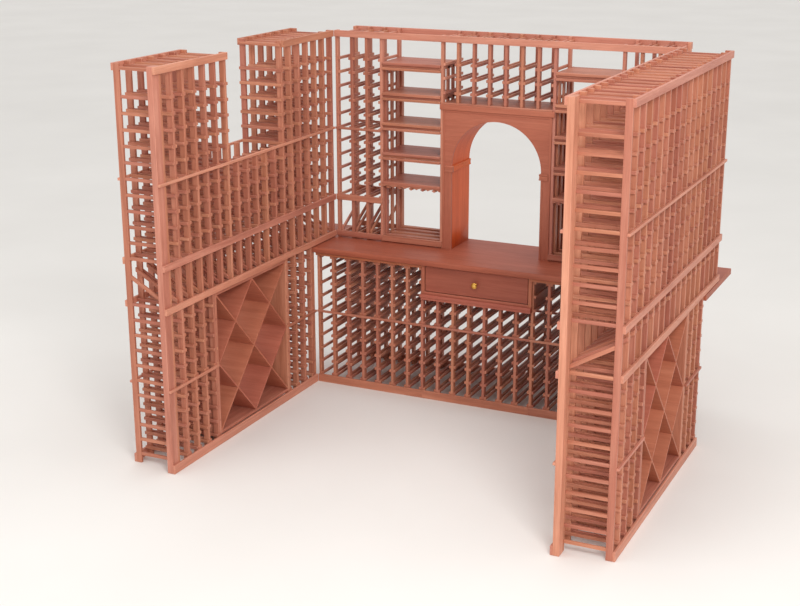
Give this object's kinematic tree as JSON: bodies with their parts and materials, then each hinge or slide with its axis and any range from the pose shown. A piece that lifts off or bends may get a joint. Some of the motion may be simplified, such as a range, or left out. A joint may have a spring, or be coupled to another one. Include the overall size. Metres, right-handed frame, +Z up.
{
  "type": "wine rack",
  "caption": "U-shaped wooden wine racking with bottle columns, diamond bins, display shelves, counter, drawer and arched niche.",
  "frame": {"origin": "centre of the bounding box at floor level", "axes": "+X to the right, +Y to the back wall, +Z up; the aisle opens towards -Y"},
  "size_m": [3.072, 2.494, 2.438],
  "materials": {
    "wood_rack": "oiled reddish softwood, satin",
    "wood_boards": "oiled reddish softwood, satin",
    "wood_panel": "stained reddish wood, satin",
    "wood_counter": "stained reddish wood, lacquered",
    "brass": "polished brass"
  },
  "bodies": {
    "racking": {"left_frame": "wood_boards", "left_ladder_01": "wood_rack", "left_ladder_02": "wood_rack", "left_ladder_03": "wood_rack", "left_ladder_04": "wood_rack", "left_ladder_05": "wood_rack", "left_ladder_06": "wood_rack", "left_ladder_07": "wood_rack", "left_ladder_08": "wood_rack", "left_ladder_09": "wood_rack", "left_ladder_10": "wood_rack", "left_ladder_11": "wood_rack", "left_ladder_12": "wood_rack", "left_ladder_13": "wood_rack", "left_ladder_14": "wood_rack", "left_ladder_15": "wood_rack", "left_ladder_16": "wood_rack", "left_ladder_17": "wood_rack", "left_ladder_18": "wood_rack", "left_bin_frame": "wood_rack", "left_bin_dividers": "wood_panel", "right_frame": "wood_boards", "right_ladder_01": "wood_rack", "right_ladder_02": "wood_rack", "right_ladder_03": "wood_rack", "right_ladder_04": "wood_rack", "right_ladder_05": "wood_rack", "right_ladder_06": "wood_rack", "right_ladder_07": "wood_rack", "right_ladder_08": "wood_rack", "right_ladder_09": "wood_rack", "right_ladder_10": "wood_rack", "right_ladder_11": "wood_rack", "right_ladder_12": "wood_rack", "right_ladder_13": "wood_rack", "right_ladder_14": "wood_rack", "right_ladder_15": "wood_rack", "right_ladder_16": "wood_rack", "right_ladder_17": "wood_rack", "right_ladder_18": "wood_rack", "right_bin_frame": "wood_rack", "right_bin_dividers": "wood_panel", "base_rack_left": "wood_rack", "base_rack_middle": "wood_rack", "base_rack_right": "wood_rack", "counter": "wood_counter", "drawer_face_frame": "wood_panel", "drawer_case": "wood_panel", "upper_frame": "wood_boards", "upper_rack_left": "wood_rack", "upper_rack_right": "wood_rack", "over_arch_rack": "wood_rack", "shelf_stack_left": "wood_rack", "shelf_stack_right": "wood_rack", "arch_panel": "wood_panel", "arch_liner": "wood_panel"},
    "drawer": {"drawer_front": "wood_counter", "drawer_box": "wood_rack", "drawer_bottom": "wood_rack", "drawer_knob": "brass"}
  },
  "joints": [
    {"name": "drawer_slide", "type": "slide", "parent": "racking", "child": "drawer", "axis": [0, -1, 0], "range_m": [0, 0.38]}
  ]
}
